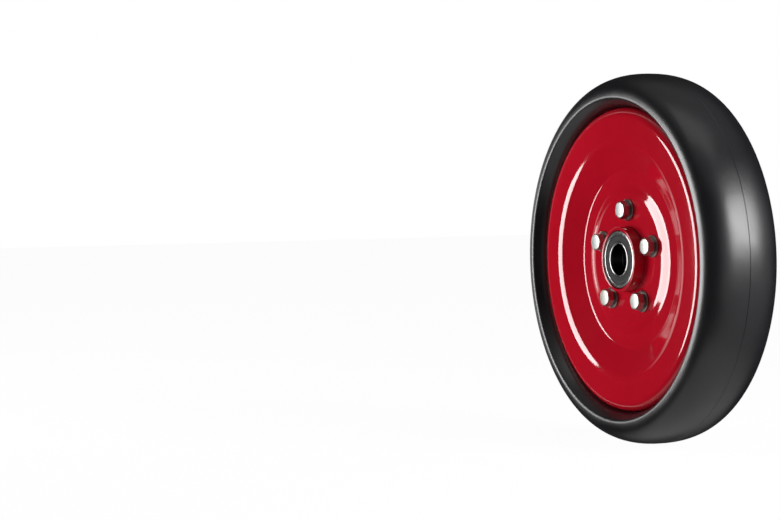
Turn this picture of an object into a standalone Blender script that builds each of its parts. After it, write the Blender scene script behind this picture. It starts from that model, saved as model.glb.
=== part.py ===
"""Press wheel of a seed drill: a smooth rubber tyre on two pressed half rims and a spool hub.

The wheel turns about Y, its front looks along -Y and Z is up. Sizes are in metres.
Outlines are lists of (radius, level), where level is measured along Y from the wheel's middle.
"""

import math

import bmesh
import bpy
from mathutils import Matrix, Vector

# Gap left between two pieces that touch
GAP = 0.0003

# Half rims, pressed from sheet: from the drum under the tyre inwards to the hole for the hub
RIM_DIAMETER = 0.246
RIM_WIDTH = 0.055
RIM_SPLIT = 0.012
SHEET = 0.0025
ROLL_RADIUS = 0.008
BEND_RADIUS = 0.007
CREST_RING_WIDTH = 0.0175
VALLEY_DEPTH = 0.0115
VALLEY_WIDTH = 0.0115
CENTRE_RISE = 0.003
CENTRE_SLOPE = 0.008

# Tyre, moulded in one piece with an air chamber and a foot that the half rims trap
TREAD_HEIGHT = 0.027
TREAD_FULLNESS = 2.35
LIP_HEIGHT = 0.0095
LIP_PROUD = 0.0065
LIP_ROUND = 0.002
GROOVE_WIDTH = 0.003
FOOT_WIDTH = 0.024
FOOT_THICKNESS = 0.006
CROWN_THICKNESS = 0.0105
CHAMBER_WIDTH = 0.040
CHAMBER_HEIGHT = 0.010
CHAMBER_FULLNESS = 2.6
VENT_DIAMETER = 0.003

# Hub, a spool with a seat for a bearing in each end and five bosses between its flanges
HUB_PROUD = 0.0095
HUB_WALL = 0.0025
SEAT_SHOULDER = 0.0038
HUB_FLANGE = 0.005
HUB_FILLET = 0.003
HUB_CHAMFER = 0.0008
FLANGE_SETBACK = 0.003
BOSS_DIAMETER = 0.016

# Bolts and nuts, M8 with a flange
BOLTS = 5
BOLT_SPACE = 0.0137
BOLT_DIAMETER = 0.008
BOLT_END = 0.0035
HOLE_CLEARANCE = 0.0005
HEAD_HEIGHT = 0.008
HEAD_FLATS = 0.013
HEAD_TOP = 0.0122
CHAMFER_ANGLE = math.radians(30)
FLANGE_DIAMETER = 0.0179
FLANGE_EDGE = 0.0011
FLANGE_ANGLE = math.radians(25)
FLANGE_MARGIN = 0.0035
BOLT_CHAMFER = 0.0009

# Ball bearings, 25 x 47 x 12 mm with a rubber seal on each side, and the tube between them.
# The balls are as large as two things allow: their share of the section from bore to outside,
# and the width less the room on each side for a seal and the cage's back.
# The rings' shoulders stand at a share of the ball's radius from its centre
BORE_DIAMETER = 0.025
BEARING_DIAMETER = 0.047
BEARING_WIDTH = 0.012
BALL_SHARE = 0.58
SIDE_ROOM = 0.00281
INNER_SHOULDER_SHARE = 0.88
OUTER_SHOULDER_SHARE = 0.69
BEARING_INSET = 0.0005
BEARING_CHAMFER = 0.0006
BALLS = 10
SEAL_THICKNESS = 0.0007
SEAL_GRIP = 0.0004
SEAL_LEDGE = 0.0002
CAGE_THICKNESS = 0.0024
CAGE_WEB = 0.0007
CAGE_MOUTH = 0.0012
SPACER_WALL = 0.0025

# Facets round the circumference
WHEEL_STEPS = 36
HUB_STEPS = 22
FLANGE_STEPS = 18
CHAMFER_STEPS = 12
HOLE_STEPS = 10
CAGE_STEPS = 2 * BALLS
BALL_SEGMENTS = 8
BALL_RINGS = 4
TRACK_STEPS = 4
DOME_STEPS = 5
CHAMBER_STEPS = 2
VENT_STEPS = 6
ARC_STEP = math.radians(30)
FILLET_LIMIT = 0.49
SHARP_ANGLE = math.radians(32)

# Radii and levels that follow from the sizes above
bore_radius = BORE_DIAMETER / 2
bearing_radius = BEARING_DIAMETER / 2
pitch_radius = (bore_radius + bearing_radius) / 2
bearing_section = bearing_radius - bore_radius
ball_radius = min(BALL_SHARE * bearing_section, BEARING_WIDTH - 2 * SIDE_ROOM) / 2
track_radius = ball_radius + GAP
inner_shoulder = pitch_radius - INNER_SHOULDER_SHARE * ball_radius
outer_shoulder = pitch_radius + OUTER_SHOULDER_SHARE * ball_radius
seat_radius = bearing_radius + GAP
barrel_radius = seat_radius + HUB_WALL
bolt_circle_radius = barrel_radius + BOLT_SPACE
bolt_radius = BOLT_DIAMETER / 2
hole_radius = bolt_radius + HOLE_CLEARANCE
centre_radius = bolt_circle_radius + FLANGE_DIAMETER / 2 + FLANGE_MARGIN
drum_radius = RIM_DIAMETER / 2

crest_level = RIM_WIDTH / 2
valley_level = crest_level - VALLEY_DEPTH
centre_level = valley_level + CENTRE_RISE
roll_level = crest_level - ROLL_RADIUS
split_level = RIM_SPLIT / 2
hub_level = centre_level + HUB_PROUD
bearing_face_level = hub_level - BEARING_INSET
bearing_level = bearing_face_level - BEARING_WIDTH / 2
shoulder_level = bearing_face_level - BEARING_WIDTH - GAP


def rounded(corners):
    """Return (radius, level) points, with each (radius, level, fillet) corner made an arc."""
    points = []
    for index, corner in enumerate(corners):
        if len(corner) == 2:
            points.append(corner)
            continue
        here = Vector(corner[:2])
        back = Vector(corners[index - 1][:2]) - here
        ahead = Vector(corners[(index + 1) % len(corners)][:2]) - here
        half_angle = back.angle(ahead) / 2
        longest = FILLET_LIMIT * min(back.length, ahead.length)
        tangent = min(corner[2] / math.tan(half_angle), longest)
        back.normalize()
        ahead.normalize()
        centre = here + (back + ahead).normalized() * tangent / math.cos(half_angle)
        first = here + back * tangent - centre
        last = here + ahead * tangent - centre
        turn = math.pi - 2 * half_angle
        steps = max(1, round(turn / ARC_STEP))
        for step in range(steps + 1):
            share = step / steps
            spoke = first * math.sin((1 - share) * turn) + last * math.sin(share * turn)
            points.append(tuple(centre + spoke / math.sin(turn)))
    return points


def both_sides(half):
    """Return a closed outline from one half, mirrored in the wheel's middle plane."""
    front = [(corner[0], -corner[1], *corner[2:]) for corner in half]
    rear = [corner for corner in reversed(half) if corner[1] > 0]
    return front + rear


def quarter_oval(width, height, fullness, steps):
    """Return (across, up) points of a superellipse's quarter, from its top to its side."""
    points = []
    for step in range(steps + 1):
        angle = step / steps * math.pi / 2
        across = width * math.sin(angle) ** (2 / fullness)
        up = height * max(math.cos(angle), 0.0) ** (2 / fullness)
        points.append((across, up))
    return points


def spun(outline, steps, closed=True):
    """Return the mesh of an outline turned about the wheel's axis."""
    shape = bmesh.new()
    points = [shape.verts.new((radius, level, 0.0)) for radius, level in outline]
    ends = points[1:] + points[:1] if closed else points[1:]
    edges = [shape.edges.new(pair) for pair in zip(points, ends)]
    bmesh.ops.spin(
        shape,
        geom=points + edges,
        axis=(0.0, 1.0, 0.0),
        cent=(0.0, 0.0, 0.0),
        angle=math.tau,
        steps=steps,
        use_merge=True,
    )
    bmesh.ops.remove_doubles(shape, verts=shape.verts, dist=0.000001)
    bmesh.ops.recalc_face_normals(shape, faces=shape.faces)
    return finished(shape)


def rods(places, radius, length, sides):
    """Return the mesh of round rods, each along the Z axis of its place."""
    shape = bmesh.new()
    for place in places:
        bmesh.ops.create_cone(
            shape,
            cap_ends=True,
            segments=sides,
            radius1=radius,
            radius2=radius,
            depth=length,
            matrix=place,
        )
    return finished(shape)


def finished(shape):
    """Turn a bmesh into a mesh that is smooth but for its sharp edges."""
    mesh = bpy.data.meshes.new("shape")
    shape.to_mesh(mesh)
    shape.free()
    mesh.shade_smooth()
    mesh.set_sharp_from_angle(angle=SHARP_ANGLE)
    return mesh


def round_the_wheel(count, radius):
    """Return places spaced evenly round the wheel's axis, the first one at the top."""
    lift = Matrix.Translation((0.0, 0.0, radius))
    return [Matrix.Rotation(math.tau * index / count, 4, "Y") @ lift for index in range(count)]


def boolean(piece, operation, tool):
    """Give a piece a Boolean modifier with a hidden tool object."""
    step = piece.modifiers.new(operation.lower(), "BOOLEAN")
    step.operation = operation
    step.object = tool


def hidden_tool(name, mesh):
    """Add an object that only shapes others."""
    tool = bpy.data.objects.new(name, mesh)
    bpy.context.collection.objects.link(tool)
    tool.hide_render = True
    tool.display_type = "WIRE"
    return tool


def combined(mesh, operation, other):
    """Return the mesh that a Boolean of two meshes gives."""
    piece = hidden_tool("base", mesh)
    tool = hidden_tool("tool", other)
    boolean(piece, operation, tool)
    seen = piece.evaluated_get(bpy.context.evaluated_depsgraph_get())
    result = bpy.data.meshes.new_from_object(seen)
    bpy.data.objects.remove(piece)
    bpy.data.objects.remove(tool)
    result.shade_smooth()
    result.set_sharp_from_angle(angle=SHARP_ANGLE)
    return result


def finish(name, colour, roughness, metallic):
    """Return a material with one plain finish."""
    material = bpy.data.materials.new(name)
    material.use_nodes = True
    shader = material.node_tree.nodes["Principled BSDF"]
    shader.inputs["Base Color"].default_value = (*colour, 1.0)
    shader.inputs["Roughness"].default_value = roughness
    shader.inputs["Metallic"].default_value = metallic
    material.diffuse_color = (*colour, 1.0)
    return material


def group(name, place=None):
    """Add an empty on the wheel's axis, which carries what moves together."""
    empty = bpy.data.objects.new(name, None)
    bpy.context.collection.objects.link(empty)
    empty.matrix_basis = place or Matrix()
    return empty


def add(name, mesh, material, parent, place=None):
    """Add one piece of the wheel to its group."""
    piece = bpy.data.objects.new(name, mesh)
    bpy.context.collection.objects.link(piece)
    piece.parent = parent
    piece.matrix_basis = place or Matrix()
    if not mesh.materials:
        mesh.materials.append(material)
    return piece


def half_rim_face():
    """Return the outer face of the front half rim, which the sheet's thickness is added to."""
    path = [
        (barrel_radius + GAP, centre_level),
        (centre_radius, centre_level, BEND_RADIUS),
        (centre_radius + CENTRE_SLOPE, valley_level, BEND_RADIUS),
        (centre_radius + CENTRE_SLOPE + VALLEY_WIDTH, valley_level, BEND_RADIUS),
        (drum_radius - ROLL_RADIUS - CREST_RING_WIDTH, crest_level, BEND_RADIUS),
        (drum_radius, crest_level, ROLL_RADIUS),
        (drum_radius, split_level),
    ]
    face = spun([(radius, -level) for radius, level in rounded(path)], WHEEL_STEPS, closed=False)
    if face.polygons[0].normal.y > 0:
        face.flip_normals()
    return face


def tyre_body():
    """Return the solid tyre: domed tread, lips, the seat on the drum and the trapped foot."""
    lip_radius = drum_radius + LIP_HEIGHT
    rise = TREAD_HEIGHT - LIP_HEIGHT
    dome = quarter_oval(crest_level + LIP_PROUD, rise, TREAD_FULLNESS, DOME_STEPS)
    half = [(lip_radius + up, across) for across, up in dome[:-1]]
    foot_radius = drum_radius - SHEET - GAP
    half += [
        (lip_radius, crest_level + LIP_PROUD, LIP_ROUND),
        (drum_radius + GROOVE_WIDTH, crest_level),
        (drum_radius + GAP, roll_level),
        (drum_radius + GAP, split_level - GAP),
        (foot_radius, split_level - GAP),
        (foot_radius, FOOT_WIDTH / 2),
        (foot_radius - FOOT_THICKNESS, FOOT_WIDTH / 2),
    ]
    return spun(rounded(both_sides(half)), WHEEL_STEPS)


def chamber_core():
    """Return the mould's core for the air chamber, with the pin that leaves the vent hole."""
    middle = drum_radius + TREAD_HEIGHT - CROWN_THICKNESS - CHAMBER_HEIGHT / 2
    quarter = quarter_oval(CHAMBER_WIDTH / 2, CHAMBER_HEIGHT / 2, CHAMBER_FULLNESS, CHAMBER_STEPS)
    half = [(middle + up, across) for across, up in quarter]
    half += [(middle - up, across) for across, up in reversed(quarter[:-1])]
    low = drum_radius - SHEET - FOOT_THICKNESS - 2 * GAP - VENT_DIAMETER
    place = Matrix.Translation((0.0, 0.0, (low + middle) / 2))
    pin = rods([place], VENT_DIAMETER / 2, middle - low, VENT_STEPS)
    return combined(spun(both_sides(half), WHEEL_STEPS), "UNION", pin)


def hub_spool():
    """Return the hub: a barrel with two flanges, a bearing seat in each end and five bosses."""
    flange_level = centre_level - SHEET - GAP
    flange_radius = centre_radius - FLANGE_SETBACK
    half = [
        (barrel_radius, flange_level - HUB_FLANGE, HUB_FILLET),
        (flange_radius, flange_level - HUB_FLANGE),
        (flange_radius, flange_level),
        (barrel_radius, flange_level),
        (barrel_radius, hub_level - HUB_CHAMFER),
        (barrel_radius - HUB_CHAMFER, hub_level),
        (seat_radius, hub_level),
        (seat_radius, shoulder_level),
        (seat_radius - SEAT_SHOULDER, shoulder_level),
    ]
    spool = spun(rounded(both_sides(half)), HUB_STEPS)
    upright = Matrix.Rotation(math.pi / 2, 4, "X")
    places = [place @ upright for place in round_the_wheel(BOLTS, bolt_circle_radius)]
    length = 2 * flange_level - HUB_FLANGE
    return combined(spool, "UNION", rods(places, BOSS_DIAMETER / 2, length, HOLE_STEPS))


def bolt_holes():
    """Return the drills that run through both half rims and the hub."""
    upright = Matrix.Rotation(math.pi / 2, 4, "X")
    places = [place @ upright for place in round_the_wheel(BOLTS, bolt_circle_radius)]
    return rods(places, hole_radius, 2 * hub_level, HOLE_STEPS)


def flanged_hexagon():
    """Return a hexagon with a chamfered end on a sloped flange, which stands on level 0."""
    turn = Matrix.Rotation(math.pi / 2, 4, "X")
    flange_radius = FLANGE_DIAMETER / 2
    top_radius = HEAD_TOP / 2
    middle = Matrix.Translation((0.0, -FLANGE_EDGE - HEAD_HEIGHT / 2, 0.0))
    hexagon = rods([middle @ turn], HEAD_FLATS / math.sqrt(3), HEAD_HEIGHT, 6)
    drop = (flange_radius - top_radius) * math.tan(CHAMFER_ANGLE)
    chamfer = [
        (0.0, 0.0),
        (flange_radius, 0.0),
        (flange_radius, drop - HEAD_HEIGHT),
        (top_radius, -HEAD_HEIGHT),
        (0.0, -HEAD_HEIGHT),
    ]
    head = combined(hexagon, "INTERSECT", spun(chamfer, CHAMFER_STEPS, closed=False))
    slope = [
        (0.0, 0.0),
        (flange_radius, 0.0),
        (flange_radius, -FLANGE_EDGE),
        (0.0, -FLANGE_EDGE - flange_radius * math.tan(FLANGE_ANGLE)),
    ]
    return combined(head, "UNION", spun(slope, FLANGE_STEPS, closed=False))


def bolt_body():
    """Return a bolt whose head stands on level 0 and whose shank runs along +Y."""
    length = 2 * (centre_level + GAP) + GAP + HEAD_HEIGHT + BOLT_END
    shank = [
        (0.0, -FLANGE_EDGE),
        (bolt_radius, -FLANGE_EDGE),
        (bolt_radius, length - BOLT_CHAMFER),
        (bolt_radius - BOLT_CHAMFER, length),
        (0.0, length),
    ]
    return combined(flanged_hexagon(), "UNION", spun(shank, HOLE_STEPS, closed=False))


def nut_body():
    """Return a nut that stands on level 0, bored for the bolt."""
    turn = Matrix.Rotation(math.pi / 2, 4, "X")
    drill = rods([turn], bolt_radius + GAP, 3 * HEAD_HEIGHT, HOLE_STEPS)
    return combined(flanged_hexagon(), "DIFFERENCE", drill)


def ball_track(shoulder, outwards):
    """Return the arc of a ball's track, from its front edge to its rear one on the shoulder."""
    depth = abs(shoulder - pitch_radius)
    reach = math.acos(depth / track_radius)
    points = []
    for step in range(TRACK_STEPS + 1):
        angle = reach * (2 * step / TRACK_STEPS - 1)
        radius = pitch_radius + outwards * track_radius * math.cos(angle)
        points.append((radius, track_radius * math.sin(angle)))
    return points


def outer_ring_body():
    """Return a bearing's outer ring: one ball track and a groove for each seal."""
    edge = BEARING_WIDTH / 2
    groove = outer_shoulder + SEAL_GRIP + GAP
    groove_out = edge - SEAL_LEDGE
    groove_in = groove_out - SEAL_THICKNESS - 2 * GAP
    front = [
        (bearing_radius, -edge),
        (outer_shoulder, -edge),
        (outer_shoulder, -groove_out),
        (groove, -groove_out),
        (groove, -groove_in),
        (outer_shoulder, -groove_in),
    ]
    rear = [(radius, -level) for radius, level in reversed(front)]
    return spun(front + ball_track(outer_shoulder, 1) + rear, HUB_STEPS)


def inner_ring_body():
    """Return a bearing's inner ring, with its bore chamfered for the axle."""
    edge = BEARING_WIDTH / 2
    front = [
        (bore_radius, BEARING_CHAMFER - edge),
        (bore_radius + BEARING_CHAMFER, -edge),
        (inner_shoulder, -edge),
    ]
    rear = [(radius, -level) for radius, level in reversed(front)]
    return spun(front + ball_track(inner_shoulder, -1) + rear, HUB_STEPS)


def seal_body():
    """Return a rubber seal that lies in the outer ring's groove and wipes the inner ring."""
    outer = outer_shoulder + SEAL_GRIP
    inner = inner_shoulder + GAP
    half = SEAL_THICKNESS / 2
    return spun([(outer, -half), (inner, -half), (inner, half), (outer, half)], HUB_STEPS)


def cage_body():
    """Return a crown cage: a ring on the rear of the balls with open pockets to the front."""
    inner = pitch_radius - CAGE_THICKNESS / 2
    outer = pitch_radius + CAGE_THICKNESS / 2
    back = track_radius + CAGE_WEB
    ring = spun([(inner, -CAGE_MOUTH), (outer, -CAGE_MOUTH), (outer, back), (inner, back)], CAGE_STEPS)
    pockets = rods(round_the_wheel(BALLS, pitch_radius), track_radius, 3 * CAGE_THICKNESS, HOLE_STEPS)
    return combined(ring, "DIFFERENCE", pockets)


def ball_body():
    """Return one ball."""
    shape = bmesh.new()
    bmesh.ops.create_uvsphere(shape, u_segments=BALL_SEGMENTS, v_segments=BALL_RINGS, radius=ball_radius)
    return finished(shape)


def spacer_body():
    """Return the tube that holds the two inner rings apart."""
    end = shoulder_level
    outer = bore_radius + SPACER_WALL
    return spun([(bore_radius, -end), (outer, -end), (outer, end), (bore_radius, end)], HUB_STEPS)


def add_rims_and_hub(wheel, paint):
    """Add the two half rims, back to back, and the hub that they are bolted to."""
    drills = hidden_tool("bolt_drills", bolt_holes())
    face = half_rim_face()
    for name, turn in (("front_half_rim", 0.0), ("rear_half_rim", math.pi)):
        rim = add(name, face, paint, wheel, Matrix.Rotation(turn, 4, "Z"))
        sheet = rim.modifiers.new("sheet", "SOLIDIFY")
        sheet.thickness = SHEET
        sheet.offset = -1.0
        sheet.use_even_offset = True
        boolean(rim, "DIFFERENCE", drills)
    hub = add("hub", hub_spool(), paint, wheel)
    boolean(hub, "DIFFERENCE", drills)


def add_tyre(wheel, rubber):
    """Add the tyre, hollowed by its core."""
    tyre = add("tyre", tyre_body(), rubber, wheel)
    boolean(tyre, "DIFFERENCE", hidden_tool("chamber_core", chamber_core()))


def add_fasteners(wheel, zinc):
    """Add the five bolts with their heads on the front rim and their nuts on the rear one."""
    bolt = bolt_body()
    nut = nut_body()
    face = centre_level + GAP
    for number, place in enumerate(round_the_wheel(BOLTS, bolt_circle_radius), start=1):
        spot = place.translation
        head = Matrix.Translation((spot.x, -face, spot.z))
        back = Matrix.Translation((spot.x, face, spot.z)) @ Matrix.Rotation(math.pi, 4, "Z")
        add(f"bolt_{number}", bolt, zinc, wheel, head)
        add(f"nut_{number}", nut, zinc, wheel, back)


def add_bearings(wheel, axle, steel, seal_rubber, nylon):
    """Add a sealed ball bearing at each end of the hub, and the spacer tube between them."""
    outer_ring = outer_ring_body()
    inner_ring = inner_ring_body()
    seal = seal_body()
    cage_mesh = cage_body()
    ball = ball_body()
    seal_level = BEARING_WIDTH / 2 - SEAL_LEDGE - GAP - SEAL_THICKNESS / 2
    for side, turn in (("front", 0.0), ("rear", math.pi)):
        middle = Matrix.Rotation(turn, 4, "Z") @ Matrix.Translation((0.0, -bearing_level, 0.0))
        add(f"{side}_bearing_outer_ring", outer_ring, steel, wheel, middle)
        add(f"{side}_bearing_inner_ring", inner_ring, steel, axle, middle)
        for face, level in (("outer", -seal_level), ("inner", seal_level)):
            place = middle @ Matrix.Translation((0.0, level, 0.0))
            add(f"{side}_bearing_{face}_seal", seal, seal_rubber, wheel, place)
        cage = add(f"{side}_bearing_cage", cage_mesh, nylon, None, middle)
        for number, place in enumerate(round_the_wheel(BALLS, pitch_radius), start=1):
            add(f"{side}_bearing_ball_{number}", ball, steel, cage, Matrix.Translation(place.translation))
    add("bearing_spacer", spacer_body(), steel, axle)


def build():
    """Clear the scene and build the wheel."""
    for item in list(bpy.data.objects):
        bpy.data.objects.remove(item)
    paint = finish("red_paint", (0.50, 0.004, 0.020), 0.22, 0.0)
    rubber = finish("tyre_rubber", (0.025, 0.025, 0.028), 0.45, 0.0)
    zinc = finish("zinc_plate", (0.62, 0.64, 0.66), 0.28, 1.0)
    steel = finish("bearing_steel", (0.55, 0.55, 0.54), 0.25, 1.0)
    seal_rubber = finish("seal_rubber", (0.02, 0.02, 0.02), 0.5, 0.0)
    nylon = finish("cage_nylon", (0.55, 0.45, 0.30), 0.5, 0.0)
    wheel = group("wheel_axis")
    axle = group("axle_axis")
    add_rims_and_hub(wheel, paint)
    add_tyre(wheel, rubber)
    add_fasteners(wheel, zinc)
    add_bearings(wheel, axle, steel, seal_rubber, nylon)


build()
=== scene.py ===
"""Press wheel of a seed drill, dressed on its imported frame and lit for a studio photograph."""

import math

import bmesh
import bpy
from mathutils import Matrix, Vector


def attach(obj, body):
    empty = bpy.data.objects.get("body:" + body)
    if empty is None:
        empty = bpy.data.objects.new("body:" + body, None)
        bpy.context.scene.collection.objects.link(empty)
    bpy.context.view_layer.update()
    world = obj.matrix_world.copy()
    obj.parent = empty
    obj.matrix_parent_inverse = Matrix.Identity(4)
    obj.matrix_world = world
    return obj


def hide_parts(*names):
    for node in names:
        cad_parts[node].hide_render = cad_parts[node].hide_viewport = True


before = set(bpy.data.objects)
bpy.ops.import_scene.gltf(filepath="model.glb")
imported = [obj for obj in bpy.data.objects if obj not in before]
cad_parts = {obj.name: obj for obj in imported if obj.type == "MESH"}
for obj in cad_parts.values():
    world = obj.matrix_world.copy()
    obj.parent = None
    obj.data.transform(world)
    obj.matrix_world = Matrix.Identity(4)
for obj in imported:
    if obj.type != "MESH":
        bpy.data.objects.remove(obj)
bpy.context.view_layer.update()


# The tyre: one smooth black rubber moulding with a domed tread, a lip on each side that stands
# proud of the rim, its crest painted paler grey as a painted highlight, and a foot that the two
# half rims trap. The mould leaves a fine line round its crown.
MM = 0.001
WELD = 0.0000005
WHEEL_STEPS = 160
LIP_RADIUS = 129.8
LIP_LEVEL = 33.75
TREAD_RISE = 20.2
MOULD_LINE_RADIUS = 149.78
CHAMBER_RADIUS = 134.5
VENT_RADIUS = 0.0015
VENT_MIDDLE = 0.12275
VENT_LENGTH = 0.0235


def begin_section(name, radius, level):
    """Put one point at a radius and a level along the axle, from which a section is drawn."""
    bpy.ops.object.select_all(action="DESELECT")
    bpy.ops.mesh.primitive_plane_add(size=MM, location=(radius, level, 0.0))
    piece = bpy.context.object
    piece.name = name
    piece.data.name = name
    bpy.ops.object.transform_apply(location=True, rotation=True, scale=True)
    bpy.ops.object.mode_set(mode="EDIT")
    bpy.ops.mesh.select_all(action="SELECT")
    bpy.ops.mesh.merge(type="CENTER")
    return piece


def pick(piece, places):
    """Select the section's points that lie at these places."""
    shape = bmesh.from_edit_mesh(piece.data)
    bpy.ops.mesh.select_all(action="DESELECT")
    for place in places:
        nearest = min(shape.verts, key=lambda point: (point.co.xy - Vector(place)).length)
        nearest.select = True
    bmesh.update_edit_mesh(piece.data)


def turned(name, section, steps, closed=True):
    """Draw a section of (radius, level) or (radius, level, rounding, cuts) in mm and spin it."""
    points = [(corner[0] * MM, corner[1] * MM) for corner in section]
    piece = begin_section(name, *points[0])
    for here, ahead in zip(points, points[1:]):
        step = (ahead[0] - here[0], ahead[1] - here[1], 0.0)
        bpy.ops.mesh.extrude_vertices_move(TRANSFORM_OT_translate={"value": step})
    if closed:
        pick(piece, (points[0], points[-1]))
        bpy.ops.mesh.edge_face_add()
    for corner, place in zip(section, points):
        if len(corner) > 2:
            pick(piece, (place,))
            bpy.ops.mesh.bevel(affect="VERTICES", offset=corner[2] * MM, segments=corner[3])
    bpy.ops.mesh.select_all(action="SELECT")
    bpy.ops.mesh.spin(steps=steps, angle=math.tau, center=(0.0, 0.0, 0.0), axis=(0.0, 1.0, 0.0))
    bpy.ops.mesh.select_all(action="SELECT")
    bpy.ops.mesh.remove_doubles(threshold=WELD)
    bpy.ops.mesh.normals_make_consistent(inside=False)
    bpy.ops.object.mode_set(mode="OBJECT")
    return piece


def make_active(piece):
    """Select one piece alone."""
    bpy.ops.object.select_all(action="DESELECT")
    piece.select_set(True)
    bpy.context.view_layer.objects.active = piece


def smooth(piece, angle):
    """Shade a piece smooth but for the edges that are sharper than an angle in degrees."""
    make_active(piece)
    bpy.ops.object.shade_smooth_by_angle(angle=math.radians(angle))


def apply_all(piece):
    """Apply a piece's modifiers, from the first to the last."""
    make_active(piece)
    for modifier in list(piece.modifiers):
        bpy.ops.object.modifier_apply(modifier=modifier.name)


def cut(piece, operation, tool):
    """Shape a piece with another one by a Boolean, and take that one away."""
    step = piece.modifiers.new("cut", "BOOLEAN")
    step.operation = operation
    step.solver = "EXACT"
    step.object = tool
    apply_all(piece)
    bpy.data.objects.remove(tool)


def dome(half_width, rise, fullness, steps, inner, base):
    """Return the points of a dome from its crown to its side, without the side's own point."""
    points = []
    for step in range(steps):
        angle = step / steps * math.pi / 2
        across = half_width * math.sin(angle) ** (2 / fullness)
        up = rise * math.cos(angle) ** (2 / fullness)
        if across >= inner:
            points.append((base + up, across))
    return points


def mirrored(half):
    """Return a closed section from the half on the rear side of the wheel's middle."""
    front = [(corner[0], -corner[1], *corner[2:]) for corner in half]
    rear = [corner for corner in reversed(half) if corner[1] > 0]
    return front + rear


tyre_half = [
    (MOULD_LINE_RADIUS, 0.0),
    (MOULD_LINE_RADIUS, 0.15),
    (LIP_RADIUS + TREAD_RISE, 0.45),
]
tyre_half += dome(LIP_LEVEL, TREAD_RISE, fullness=2.4, steps=30, inner=2.2, base=LIP_RADIUS)
tyre_half += [
    (LIP_RADIUS, LIP_LEVEL, 1.6, 6),   # crest of the lip
    (125.6, 27.2, 2.0, 4),             # lip's inner side, where it meets the rim's rolled edge
    (123.3, 19.5),                     # seat on the half rim
    (123.3, 5.7),
    (120.2, 5.7),                      # gap between the half rims
    (120.2, 12.0, 1.0, 3),             # foot inside them
    (114.2, 12.0, 1.0, 3),
]
tyre = turned("rubber_tyre", mirrored(tyre_half), WHEEL_STEPS)
chamber_half = [(CHAMBER_RADIUS + up, across) for up, across in (
    (5.0, 0.0), (4.97, 6.0), (4.75, 11.0), (4.1, 15.5), (2.6, 18.8), (0.0, 20.0),
    (-2.6, 18.8), (-4.1, 15.5), (-4.75, 11.0), (-4.97, 6.0), (-5.0, 0.0),
)]
cut(tyre, "DIFFERENCE", turned("chamber", mirrored(chamber_half), WHEEL_STEPS // 2))
bpy.ops.object.select_all(action="DESELECT")
bpy.ops.mesh.primitive_cylinder_add(
    vertices=16, radius=VENT_RADIUS, depth=VENT_LENGTH, location=(0.0, 0.0, VENT_MIDDLE),
)
cut(tyre, "DIFFERENCE", bpy.context.object)
smooth(tyre, 28.0)


def finish(name, colour, roughness, metallic=0.0):
    """Start a material with its plain values on the shader's own sockets."""
    material = bpy.data.materials.new(name)
    material.use_nodes = True
    shader = material.node_tree.nodes["Principled BSDF"]
    shader.inputs["Base Color"].default_value = (*colour, 1.0)
    shader.inputs["Roughness"].default_value = roughness
    shader.inputs["Metallic"].default_value = metallic
    return material, material.node_tree, shader


def noise(tree, scale, detail):
    """Return a noise on the piece's own coordinates."""
    where = tree.nodes.new("ShaderNodeTexCoord")
    texture = tree.nodes.new("ShaderNodeTexNoise")
    texture.inputs["Scale"].default_value = scale
    texture.inputs["Detail"].default_value = detail
    tree.links.new(where.outputs["Object"], texture.inputs["Vector"])
    return texture.outputs["Fac"]


def ramp(tree, source, low, high):
    """Turn a value into a blend of two colours or two grey levels."""
    blend = tree.nodes.new("ShaderNodeValToRGB")
    first, last = blend.color_ramp.elements
    first.position, last.position = 0.35, 0.65
    first.color = (*low, 1.0)
    last.color = (*high, 1.0)
    tree.links.new(source, blend.inputs["Fac"])
    return blend.outputs["Color"]


def relief(tree, shader, layers):
    """Add bumps of (height source, depth in m) one on another, for the shader and its coat."""
    last = None
    for source, depth in layers:
        bump = tree.nodes.new("ShaderNodeBump")
        bump.inputs["Strength"].default_value = 1.0
        bump.inputs["Distance"].default_value = depth
        tree.links.new(source, bump.inputs["Height"])
        if last:
            tree.links.new(last, bump.inputs["Normal"])
        last = bump.outputs["Normal"]
    tree.links.new(last, shader.inputs["Normal"])
    if shader.inputs["Coat Weight"].default_value > 0:
        tree.links.new(last, shader.inputs["Coat Normal"])


def dress(piece, material):
    """Give a piece its only material."""
    piece.data.materials.clear()
    piece.data.materials.append(material)


rubber, tree, shader = finish("moulded_rubber", (0.008, 0.008, 0.010), 0.32)
shader.inputs["IOR"].default_value = 1.6
bloom = ramp(tree, noise(tree, 9.0, 3.0), (0.006, 0.006, 0.008), (0.010, 0.010, 0.012))
# Painted highlight: the lip's crest, at its outermost level along the axle, turns paler grey.
where = tree.nodes.new("ShaderNodeTexCoord")
axes = tree.nodes.new("ShaderNodeSeparateXYZ")
level = tree.nodes.new("ShaderNodeMath")
level.operation = "ABSOLUTE"
crest_highlight_mask = tree.nodes.new("ShaderNodeMapRange")
crest_highlight_mask.interpolation_type = "SMOOTHSTEP"
crest_highlight_mask.inputs["From Min"].default_value = 0.03362
crest_highlight_mask.inputs["From Max"].default_value = 0.03371
edge = tree.nodes.new("ShaderNodeMix")
edge.data_type = "RGBA"
rubber_black, painted_highlight_grey, edge_colour = edge.inputs[6], edge.inputs[7], edge.outputs[2]
painted_highlight_grey.default_value = (0.18, 0.18, 0.18, 1.0)
tree.links.new(where.outputs["Object"], axes.inputs["Vector"])
tree.links.new(axes.outputs["Y"], level.inputs[0])
tree.links.new(level.outputs["Value"], crest_highlight_mask.inputs["Value"])
tree.links.new(crest_highlight_mask.outputs["Result"], edge.inputs["Factor"])
tree.links.new(bloom, rubber_black)
tree.links.new(edge_colour, shader.inputs["Base Color"])
handled = ramp(tree, noise(tree, 26.0, 5.0), (0.29,) * 3, (0.36,) * 3)
tree.links.new(handled, shader.inputs["Roughness"])
relief(tree, shader, [(noise(tree, 22.0, 2.0), 0.0004), (noise(tree, 1300.0, 2.0), 0.00003)])
dress(tyre, rubber)
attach(tyre, "wheel")
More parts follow.
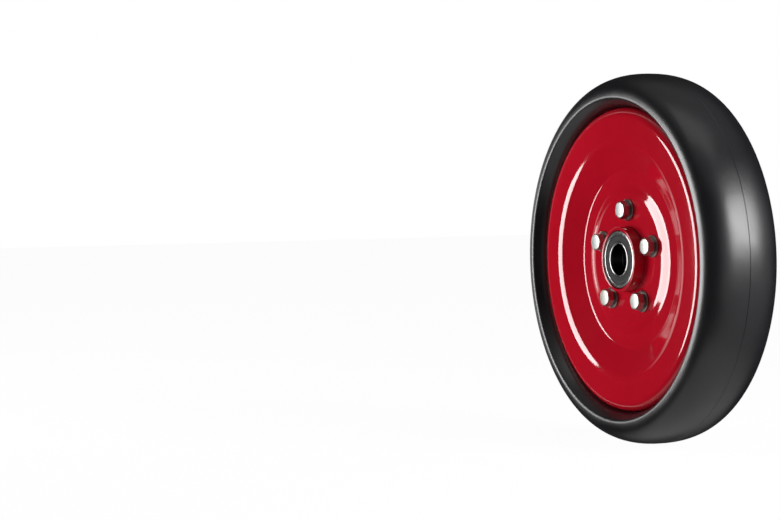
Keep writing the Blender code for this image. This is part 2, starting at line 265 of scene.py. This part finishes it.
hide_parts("tyre")


# The two half rims: one pressing of 2.5 mm steel sheet, used twice, back to back. Each has a flat
# bolting face, a valley, a broad cone and a rolled edge, and is finished in glossy red enamel.
SHEET = 0.0025
BOLT_COUNT = 5
BOLT_CIRCLE = 0.040
BOLT_HOLE = 0.0045
THROUGH_ALL = 0.070

rim_section = [
    (26.6, -19.0),             # hole for the hub's barrel
    (52.6, -19.0, 2.3, 10),    # edge of the bolting face
    (60.2, -17.1, 1.9, 10),    # valley
    (72.8, -17.1, 0.8, 4),
    (74.2, -17.744),           # cone
    (91.2, -25.567),
    (95.4, -27.5, 3.3, 14),    # crest ring
    (123.0, -27.5, 8.7, 18),   # rolled edge
    (123.0, -6.0),             # drum under the tyre
]


def round_the_bolts():
    """Return the bolts' numbers, angles and places on their circle, the first one at the top."""
    angles = [math.tau * number / BOLT_COUNT for number in range(BOLT_COUNT)]
    return [
        (number, angle, BOLT_CIRCLE * math.sin(angle), BOLT_CIRCLE * math.cos(angle))
        for number, angle in enumerate(angles)
    ]


def rod(radius, length, across, up):
    """Add a rod along the axle's direction."""
    bpy.ops.object.select_all(action="DESELECT")
    bpy.ops.mesh.primitive_cylinder_add(
        vertices=40,
        radius=radius,
        depth=length,
        location=(across, 0.0, up),
        rotation=(math.pi / 2, 0.0, 0.0),
    )
    return bpy.context.object


def drilled(piece):
    """Drill a piece for the five bolts."""
    for number, angle, across, up in round_the_bolts():
        cut(piece, "DIFFERENCE", rod(BOLT_HOLE, THROUGH_ALL, across, up))


def copy_of(body, name, place):
    """Copy a piece with a mesh of its own, which is moved to its place."""
    piece = body.copy()
    piece.data = body.data.copy()
    piece.name = name
    bpy.context.collection.objects.link(piece)
    piece.data.transform(place)
    return piece


enamel, tree, shader = finish("red_enamel", (0.51, 0.0042, 0.018), 0.55)
shader.inputs["Coat Weight"].default_value = 1.0
shader.inputs["Coat Roughness"].default_value = 0.06
shader.inputs["Coat IOR"].default_value = 1.6
shader.inputs["Specular IOR Level"].default_value = 0.0
tone = ramp(tree, noise(tree, 14.0, 3.0), (0.49, 0.0036, 0.016), (0.53, 0.0048, 0.020))
tree.links.new(tone, shader.inputs["Base Color"])
relief(tree, shader, [(noise(tree, 16.0, 1.0), 0.0006), (noise(tree, 420.0, 2.0), 0.000006)])

front_rim = turned("front_pressing", rim_section, WHEEL_STEPS, closed=False)
if front_rim.data.polygons[0].normal.y > 0:
    front_rim.data.flip_normals()
sheet = front_rim.modifiers.new("sheet", "SOLIDIFY")
sheet.thickness = SHEET
sheet.offset = -1.0
sheet.use_even_offset = True
apply_all(front_rim)
drilled(front_rim)
smooth(front_rim, 32.0)
rear_rim = copy_of(front_rim, "rear_pressing", Matrix.Rotation(math.pi, 4, "Z"))
for piece, node in ((front_rim, "front_half_rim"), (rear_rim, "rear_half_rim")):
    dress(piece, enamel)
    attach(piece, "wheel")
    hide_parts(node)


# The hub: a steel spool, turned from bar, whose barrel stands through both half rims and holds a
# bearing in each end. It is bolted between them, through its five bosses, and painted with them.
BOSS_RADIUS = 0.008
BOSS_LENGTH = 0.030

hub_half = [
    (26.3, 11.2, 2.5, 5),     # fillet between the barrel and the flange
    (49.4, 11.2, 0.6, 2),     # flange, against the half rim
    (49.4, 16.2, 0.6, 2),
    (26.3, 16.2),
    (26.3, 28.5, 0.9, 4),     # end of the barrel
    (23.8, 28.5, 0.4, 2),     # bearing's seat
    (23.8, 15.7),
    (20.0, 15.7, 0.4, 2),     # shoulder behind the bearing
]
hub = turned("hub_spool", mirrored(hub_half), 112)
for number, angle, across, up in round_the_bolts():
    cut(hub, "UNION", rod(BOSS_RADIUS, BOSS_LENGTH, across, up))
drilled(hub)
smooth(hub, 32.0)
dress(hub, enamel)
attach(hub, "wheel")
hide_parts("hub")


# Bolts and nuts: M8 flanged hexagons of zinc plated steel. The five heads stand on the front
# half rim and the five nuts on the rear one, with the threaded ends of the bolts showing.
HEAD_HEIGHT = 0.008
HEAD_FLATS = 0.013
FLANGE_EDGE = 0.0011
SEAT_LEVEL = 0.0193
THREAD_START = 38.2
THREAD_PITCH = 1.25
THREAD_TURNS = 9
THREAD_ROOT = 3.32
THREAD_CREST = 3.95

flange_section = [
    (0.0, 0.0),
    (8.95, 0.0, 0.25, 3),
    (8.95, -1.15, 0.45, 4),
    (7.2, -2.15, 0.5, 3),
    (6.3, -2.5, 0.4, 3),
    (6.3, -4.0),
    (0.0, -4.0),
]
crown_section = [
    (0.0, 1.0),
    (9.5, 1.0),
    (9.5, -6.1),
    (6.05, -8.0, 0.35, 3),
    (0.0, -8.0),
]
shank_section = [(0.0, -2.0), (THREAD_CREST, -2.0), (THREAD_CREST, 37.5)]
for number in range(THREAD_TURNS):
    start = THREAD_START + THREAD_PITCH * number
    shank_section += [
        (THREAD_ROOT, start),
        (THREAD_ROOT, start + 0.15),
        (THREAD_CREST, start + 0.55),
        (THREAD_CREST, start + 0.7),
    ]
shank_section += [(3.3, 49.9), (3.0, 50.4), (0.0, 50.4)]
bore_section = [
    (0.0, -9.0),
    (5.2, -9.0),
    (4.05, -7.3),
    (4.05, 1.0),
    (0.0, 1.0),
]


def flanged_hexagon(name):
    """Model a hexagon with a turned crown on its flange, standing on level 0."""
    bpy.ops.object.select_all(action="DESELECT")
    bpy.ops.mesh.primitive_cylinder_add(
        vertices=6,
        radius=HEAD_FLATS / math.sqrt(3),
        depth=HEAD_HEIGHT,
        location=(0.0, -HEAD_HEIGHT / 2 - FLANGE_EDGE, 0.0),
        rotation=(math.pi / 2, 0.0, 0.0),
    )
    piece = bpy.context.object
    piece.name = name
    bpy.ops.object.transform_apply(location=True, rotation=True, scale=True)
    bpy.ops.object.mode_set(mode="EDIT")
    bpy.ops.mesh.select_all(action="SELECT")
    bpy.ops.mesh.bevel(affect="EDGES", offset=0.0003, segments=3)
    bpy.ops.object.mode_set(mode="OBJECT")
    cut(piece, "INTERSECT", turned("crown", crown_section, 72, closed=False))
    cut(piece, "UNION", turned("flange", flange_section, 72, closed=False))
    return piece


bolt = flanged_hexagon("bolt")
cut(bolt, "UNION", turned("shank", shank_section, 48, closed=False))
smooth(bolt, 35.0)
nut = flanged_hexagon("nut")
cut(nut, "DIFFERENCE", turned("bore", bore_section, 48, closed=False))
smooth(nut, 35.0)

zinc, tree, shader = finish("bright_zinc", (0.42, 0.43, 0.41), 0.25, metallic=1.0)
passivated = ramp(tree, noise(tree, 60.0, 2.0), (0.40, 0.42, 0.41), (0.45, 0.45, 0.41))
tree.links.new(passivated, shader.inputs["Base Color"])
handled = ramp(tree, noise(tree, 1500.0, 2.0), (0.27,) * 3, (0.30,) * 3)
tree.links.new(handled, shader.inputs["Roughness"])
relief(tree, shader, [(noise(tree, 2600.0, 2.0), 0.0000002)])

for number, angle, across, up in round_the_bolts():
    wrenched = Matrix.Rotation(angle * 0.6 + 0.3 * number * number, 4, "Y")
    for kind, body, level, side in (
        ("bolt", bolt, -SEAT_LEVEL, 0.0),
        ("nut", nut, SEAT_LEVEL, math.pi),
    ):
        place = Matrix.Translation((across, level, up)) @ Matrix.Rotation(side, 4, "Z")
        piece = copy_of(body, f"flanged_{kind}_{number + 1}", place @ wrenched)
        dress(piece, zinc)
        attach(piece, "wheel")
        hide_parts(f"{kind}_{number + 1}")
bpy.data.objects.remove(bolt)
bpy.data.objects.remove(nut)


# The bearings: a deep groove ball bearing of ground steel in each end of the hub, with a black
# rubber seal on each side and a nylon cage for its balls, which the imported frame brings.
BEARING_MIDDLE = 0.022
SEAL_OFFSET = 0.00515

outer_ring_half = [
    (23.5, 0.0),
    (23.5, 6.0, 0.7, 5),
    (20.2, 6.0, 0.25, 3),
    (20.2, 5.8),
    (20.9, 5.8),              # seal's groove
    (20.9, 4.5),
    (20.2, 4.5),
    (20.2, 2.71),             # ball's track
    (20.85, 1.97),
    (21.3, 1.08),
    (21.49, 0.0),
]
inner_ring_half = [
    (12.5, 0.0),
    (12.5, 6.0, 0.7, 5),
    (14.2, 6.0, 0.25, 3),
    (14.2, 4.7),              # land under the seal's lip
    (15.2, 4.3),
    (15.2, 2.07),             # ball's track
    (14.75, 1.28),
    (14.51, 0.0),
]
seal_section = [
    (14.5, -0.35, 0.15, 2),
    (16.3, -0.35, 0.3, 3),
    (16.7, -0.12, 0.3, 3),
    (19.0, -0.12, 0.3, 3),
    (19.5, -0.35, 0.3, 3),
    (20.6, -0.35, 0.15, 2),
    (20.6, 0.35, 0.1, 2),
    (14.5, 0.35, 0.1, 2),
]
outer_ring = turned("outer_ring", mirrored(outer_ring_half), 112)
inner_ring = turned("inner_ring", mirrored(inner_ring_half), 96)
seal = turned("seal", seal_section, 96)
for piece in (outer_ring, inner_ring, seal):
    smooth(piece, 32.0)

steel, tree, shader = finish("ground_steel", (0.42, 0.42, 0.41), 0.14, metallic=1.0)
where = tree.nodes.new("ShaderNodeTexCoord")
axes = tree.nodes.new("ShaderNodeSeparateXYZ")
flat = tree.nodes.new("ShaderNodeCombineXYZ")
radius = tree.nodes.new("ShaderNodeVectorMath")
radius.operation = "LENGTH"
grinding = tree.nodes.new("ShaderNodeTexNoise")
grinding.noise_dimensions = "1D"
grinding.inputs["Scale"].default_value = 9000.0
tree.links.new(where.outputs["Object"], axes.inputs["Vector"])
tree.links.new(axes.outputs["X"], flat.inputs["X"])
tree.links.new(axes.outputs["Z"], flat.inputs["Y"])
tree.links.new(flat.outputs["Vector"], radius.inputs[0])
tree.links.new(radius.outputs["Value"], grinding.inputs["W"])
tone = ramp(tree, noise(tree, 120.0, 3.0), (0.39, 0.39, 0.39), (0.45, 0.44, 0.43))
tree.links.new(tone, shader.inputs["Base Color"])
polish = ramp(tree, grinding.outputs["Fac"], (0.11,) * 3, (0.16,) * 3)
tree.links.new(polish, shader.inputs["Roughness"])
relief(tree, shader, [(grinding.outputs["Fac"], 0.000002)])

seal_rubber, tree, shader = finish("seal_rubber_black", (0.012, 0.013, 0.012), 0.55)
shader.inputs["Specular IOR Level"].default_value = 0.2
tone = ramp(tree, noise(tree, 300.0, 4.0), (0.008,) * 3, (0.016,) * 3)
tree.links.new(tone, shader.inputs["Base Color"])
relief(tree, shader, [(noise(tree, 1500.0, 2.0), 0.00002)])

nylon, tree, shader = finish("cage_nylon_natural", (0.55, 0.45, 0.30), 0.5)
tone = ramp(tree, noise(tree, 300.0, 4.0), (0.50, 0.41, 0.27), (0.60, 0.50, 0.34))
tree.links.new(tone, shader.inputs["Base Color"])
relief(tree, shader, [(noise(tree, 1200.0, 2.0), 0.00002)])

half_turn = Matrix.Rotation(math.pi, 4, "Z")
outwards = Matrix.Translation((0.0, -SEAL_OFFSET, 0.0))
inwards = Matrix.Translation((0.0, SEAL_OFFSET, 0.0))
for side, turn in (("front", 0.0), ("rear", math.pi)):
    middle = Matrix.Rotation(turn, 4, "Z") @ Matrix.Translation((0.0, -BEARING_MIDDLE, 0.0))
    for body, node, place, material, slot, rider in (
        (outer_ring, "outer_ring", middle, steel, "bearing_steel", "wheel"),
        (inner_ring, "inner_ring", middle, steel, "bearing_steel", "axle_rings"),
        (seal, "outer_seal", middle @ outwards, seal_rubber, "seal_rubber", "wheel"),
        (seal, "inner_seal", middle @ inwards @ half_turn, seal_rubber, "seal_rubber", "wheel"),
    ):
        piece = copy_of(body, f"{side}_{node}", place)
        dress(piece, material)
        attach(piece, rider)
        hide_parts(f"{side}_bearing_{node}")
for piece in (outer_ring, inner_ring, seal):
    bpy.data.objects.remove(piece)

for name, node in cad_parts.items():
    if "_cage" in name:
        node.data.materials.clear()
        node.data.materials.append(nylon)
    elif "_ball_" in name:
        node.data.materials.clear()
        node.data.materials.append(steel)


# The spacer: a phosphated steel tube on the axle between the two bearings' inner rings, through
# which the axle's nut clamps them without pinching the balls.
spacer_section = [
    (12.5, -15.7, 0.4, 2),
    (15.0, -15.7, 0.3, 2),
    (15.0, 15.7, 0.3, 2),
    (12.5, 15.7, 0.4, 2),
]
spacer = turned("spacer_tube", spacer_section, 96)
smooth(spacer, 32.0)

phosphate, tree, shader = finish("phosphated_steel", (0.05, 0.05, 0.05), 0.5, metallic=1.0)
tone = ramp(tree, noise(tree, 240.0, 4.0), (0.035,) * 3, (0.065,) * 3)
tree.links.new(tone, shader.inputs["Base Color"])
relief(tree, shader, [(noise(tree, 1400.0, 3.0), 0.00001)])
dress(spacer, phosphate)
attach(spacer, "axle_rings")
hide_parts("bearing_spacer")


# The studio: a white floor, an oval soft box at the front left for the disc, a second one at the
# right for the tread, a weak one above, and pale walls that only show in the wheel's reflections.
FLOOR_LEVEL = -0.150
FLOOR_SIZE = 6.0
PAPER_SHADE = 0.8
PAPER_GLOW = 1.03
PAPER_GLOW_SHARE = 0.94

white_paper = bpy.data.materials.new("floor_paper")
white_paper.use_nodes = True
tree = white_paper.node_tree
tree.nodes.clear()
surface = tree.nodes.new("ShaderNodeOutputMaterial")
paper = tree.nodes.new("ShaderNodeBsdfDiffuse")
paper.inputs["Color"].default_value = (PAPER_SHADE, PAPER_SHADE, PAPER_SHADE, 1.0)
glow = tree.nodes.new("ShaderNodeEmission")
glow.inputs["Color"].default_value = (1.0, 1.0, 1.0, 1.0)
glow.inputs["Strength"].default_value = PAPER_GLOW
rays = tree.nodes.new("ShaderNodeLightPath")
share = tree.nodes.new("ShaderNodeMath")
share.operation = "MULTIPLY"
share.inputs[1].default_value = PAPER_GLOW_SHARE
mix = tree.nodes.new("ShaderNodeMixShader")
tree.links.new(rays.outputs["Is Camera Ray"], share.inputs[0])
tree.links.new(share.outputs["Value"], mix.inputs["Fac"])
tree.links.new(paper.outputs["BSDF"], mix.inputs[1])
tree.links.new(glow.outputs["Emission"], mix.inputs[2])
tree.links.new(mix.outputs["Shader"], surface.inputs["Surface"])

bpy.ops.object.select_all(action="DESELECT")
bpy.ops.mesh.primitive_plane_add(size=FLOOR_SIZE, location=(0.0, 0.0, FLOOR_LEVEL))
floor = bpy.context.object
floor.name = "studio_floor"
floor.data.materials.append(white_paper)
floor.visible_glossy = False
floor.visible_shadow = False


def bearing_to(azimuth, height):
    """Return the direction at an azimuth from the wheel's front and a height, in radians."""
    return Vector((
        math.sin(azimuth) * math.cos(height),
        -math.cos(azimuth) * math.cos(height),
        math.sin(height),
    ))


def soft_box(name, azimuth, height, distance, width, tall, power, shape="RECTANGLE"):
    """Hang a soft box round the wheel, turned to its middle."""
    direction = bearing_to(math.radians(azimuth), math.radians(height))
    bpy.ops.object.light_add(type="AREA", location=direction * distance)
    lamp = bpy.context.object
    lamp.name = name
    lamp.data.shape = shape
    lamp.data.size = width
    lamp.data.size_y = tall
    lamp.data.energy = power
    lamp.rotation_euler = direction.to_track_quat("Z", "Y").to_euler()


soft_box("front_left_box", azimuth=-36.6, height=0.8, distance=1.4,
         width=0.72, tall=0.83, power=15.9, shape="ELLIPSE")
soft_box("right_box", azimuth=114.0, height=20.0, distance=1.4, width=0.8, tall=0.7, power=20.0)
soft_box("top_box", azimuth=60.0, height=80.0, distance=1.6, width=1.4, tall=0.8, power=2.5)

world = bpy.data.worlds.new("studio_room")
bpy.context.scene.world = world
world.use_nodes = True
room = world.node_tree
room.nodes.clear()
view = room.nodes.new("ShaderNodeTexCoord")
heights = room.nodes.new("ShaderNodeSeparateXYZ")
room.links.new(view.outputs["Generated"], heights.inputs["Vector"])
height = heights.outputs["Z"]


def reckon(kind, first, second):
    """Add, multiply or compare two values of the room."""
    step = room.nodes.new("ShaderNodeMath")
    step.operation = kind
    for place, value in ((0, first), (1, second)):
        if isinstance(value, float):
            step.inputs[place].default_value = value
        else:
            room.links.new(value, step.inputs[place])
    return step.outputs["Value"]


def between(value, low, high, bottom, top):
    """Turn a value from low to high into one from bottom to top, with soft ends."""
    step = room.nodes.new("ShaderNodeMapRange")
    step.interpolation_type = "SMOOTHSTEP"
    step.inputs["From Min"].default_value = low
    step.inputs["From Max"].default_value = high
    step.inputs["To Min"].default_value = bottom
    step.inputs["To Max"].default_value = top
    room.links.new(value, step.inputs["Value"])
    return step.outputs["Result"]


def toward(azimuth):
    """Return how nearly a direction points at an azimuth, as a cosine."""
    step = room.nodes.new("ShaderNodeVectorMath")
    step.operation = "DOT_PRODUCT"
    step.inputs[1].default_value = bearing_to(math.radians(azimuth), 0.0)
    room.links.new(view.outputs["Generated"], step.inputs[0])
    return step.outputs["Value"]


def brightest(*parts):
    """Return the highest of the room's values."""
    value = parts[0]
    for part in parts[1:]:
        value = reckon("MAXIMUM", value, part)
    return value


off_level = reckon("ABSOLUTE", reckon("ADD", height, 0.05), 0.0)
left_wall = reckon(
    "MULTIPLY",
    between(toward(-82.0), 0.96, 0.98, 0.0, 1.0),
    between(off_level, 0.04, 0.13, 1.0, 0.0),
)
right_wall = between(toward(118.0), 0.45, 0.95, 0.0, 0.45)
back_wall = reckon(
    "MULTIPLY",
    between(toward(-107.0), 0.988, 0.996, 0.0, 1.2),
    between(off_level, 0.3, 0.5, 1.0, 0.0),
)
ground = between(height, -0.80, -0.55, 0.6, 0.0)
ceiling = between(height, 0.55, 0.80, 0.0, 0.2)
walls = reckon("ADD", brightest(left_wall, right_wall, ground, ceiling, back_wall), 0.02)

rays = room.nodes.new("ShaderNodeLightPath")
mirrored_ray = brightest(rays.outputs["Is Glossy Ray"], rays.outputs["Is Transmission Ray"])
strength = reckon("ADD", reckon("MULTIPLY", mirrored_ray, walls), rays.outputs["Is Camera Ray"])
dim_fill = reckon("MULTIPLY", rays.outputs["Is Diffuse Ray"], 0.05)
backdrop = room.nodes.new("ShaderNodeBackground")
backdrop.inputs["Color"].default_value = (1.0, 1.0, 1.0, 1.0)
surface = room.nodes.new("ShaderNodeOutputWorld")
room.links.new(reckon("ADD", strength, dim_fill), backdrop.inputs["Strength"])
room.links.new(backdrop.outputs["Background"], surface.inputs["Surface"])


# The camera looks at the front of the wheel from its right side, a little above the axle.
# It stands well back with a long lens and leaves the wheel at the right of the picture.
CAMERA_AZIMUTH = math.radians(58.42)
CAMERA_HEIGHT = math.radians(3.3)
CAMERA_DISTANCE = 2.5
CAMERA_LENS = 141.7
CAMERA_PAN = math.radians(4.81)
CAMERA_TILT = math.radians(0.036)

toward_camera = bearing_to(CAMERA_AZIMUTH, CAMERA_HEIGHT)
bpy.ops.object.select_all(action="DESELECT")
bpy.ops.object.camera_add(location=toward_camera * CAMERA_DISTANCE)
camera = bpy.context.object
camera.name = "photo_camera"
camera.data.lens = CAMERA_LENS
camera.data.sensor_width = 36.0
camera.rotation_euler = (
    math.pi / 2 - CAMERA_HEIGHT - CAMERA_TILT,
    0.0,
    CAMERA_AZIMUTH + CAMERA_PAN,
)
bpy.context.scene.camera = camera
bpy.context.scene.view_settings.view_transform = "Standard"
